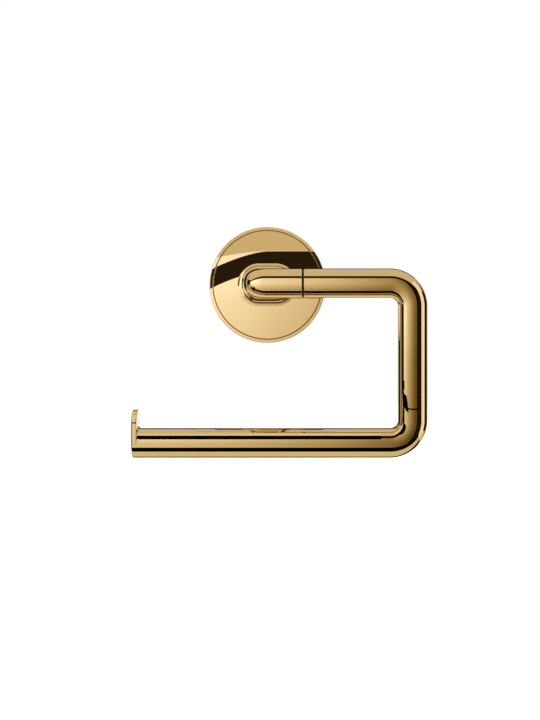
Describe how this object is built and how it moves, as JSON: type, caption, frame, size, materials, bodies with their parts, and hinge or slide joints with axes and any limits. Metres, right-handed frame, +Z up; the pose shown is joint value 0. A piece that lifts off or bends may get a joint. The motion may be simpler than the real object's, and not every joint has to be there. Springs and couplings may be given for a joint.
{
  "type": "toilet paper holder",
  "caption": "Wall-mounted toilet paper holder: round rose, elbow post, and an open bent-tube arm that swings up and has a raised end stop.",
  "frame": {"origin": "centre of the wall bracket's back face, in the plane of the wall, behind the centre of the rose", "axes": "+Y into the wall, so the holder stands out along -Y; +X along the arm, away from the post; +Z up"},
  "size_m": [0.1402, 0.103, 0.113],
  "materials": {
    "polished_gold": "mirror-polished warm gold plating on brass",
    "raw_brass": "turned brass, unplated",
    "zinc": "die-cast zinc alloy, barrelled satin",
    "steel": "bright zinc-plated or stainless steel",
    "dark_steel": "black-oxide steel",
    "black_polymer": "black acetal",
    "grey_nylon": "grey nylon"
  },
  "bodies": {
    "fixed_side": {"wall_bracket": "zinc", "rose_cover": "polished_gold", "rose_grub_screw": "dark_steel", "post_elbow": "polished_gold", "pivot_spigot": "steel", "spigot_lock_screw": "dark_steel", "swivel_washer": "black_polymer", "wall_screw_left": "steel", "wall_plug_left": "grey_nylon", "foot_screw_left": "steel", "foot_washer_left": "steel", "wall_screw_right": "steel", "wall_plug_right": "grey_nylon", "foot_screw_right": "steel", "foot_washer_right": "steel"},
    "swinging_arm": {"arm_tube": "polished_gold", "pivot_sleeve": "raw_brass", "pivot_bush_near": "black_polymer", "pivot_bush_far": "black_polymer", "swing_stop_screw": "dark_steel", "end_stop": "polished_gold"}
  },
  "joints": [
    {"name": "arm_swing", "type": "hinge", "parent": "fixed_side", "child": "swinging_arm", "pos_m": [0.0195, -0.066, 0], "axis": [-1, 0, 0], "range_deg": [0, 90]}
  ]
}
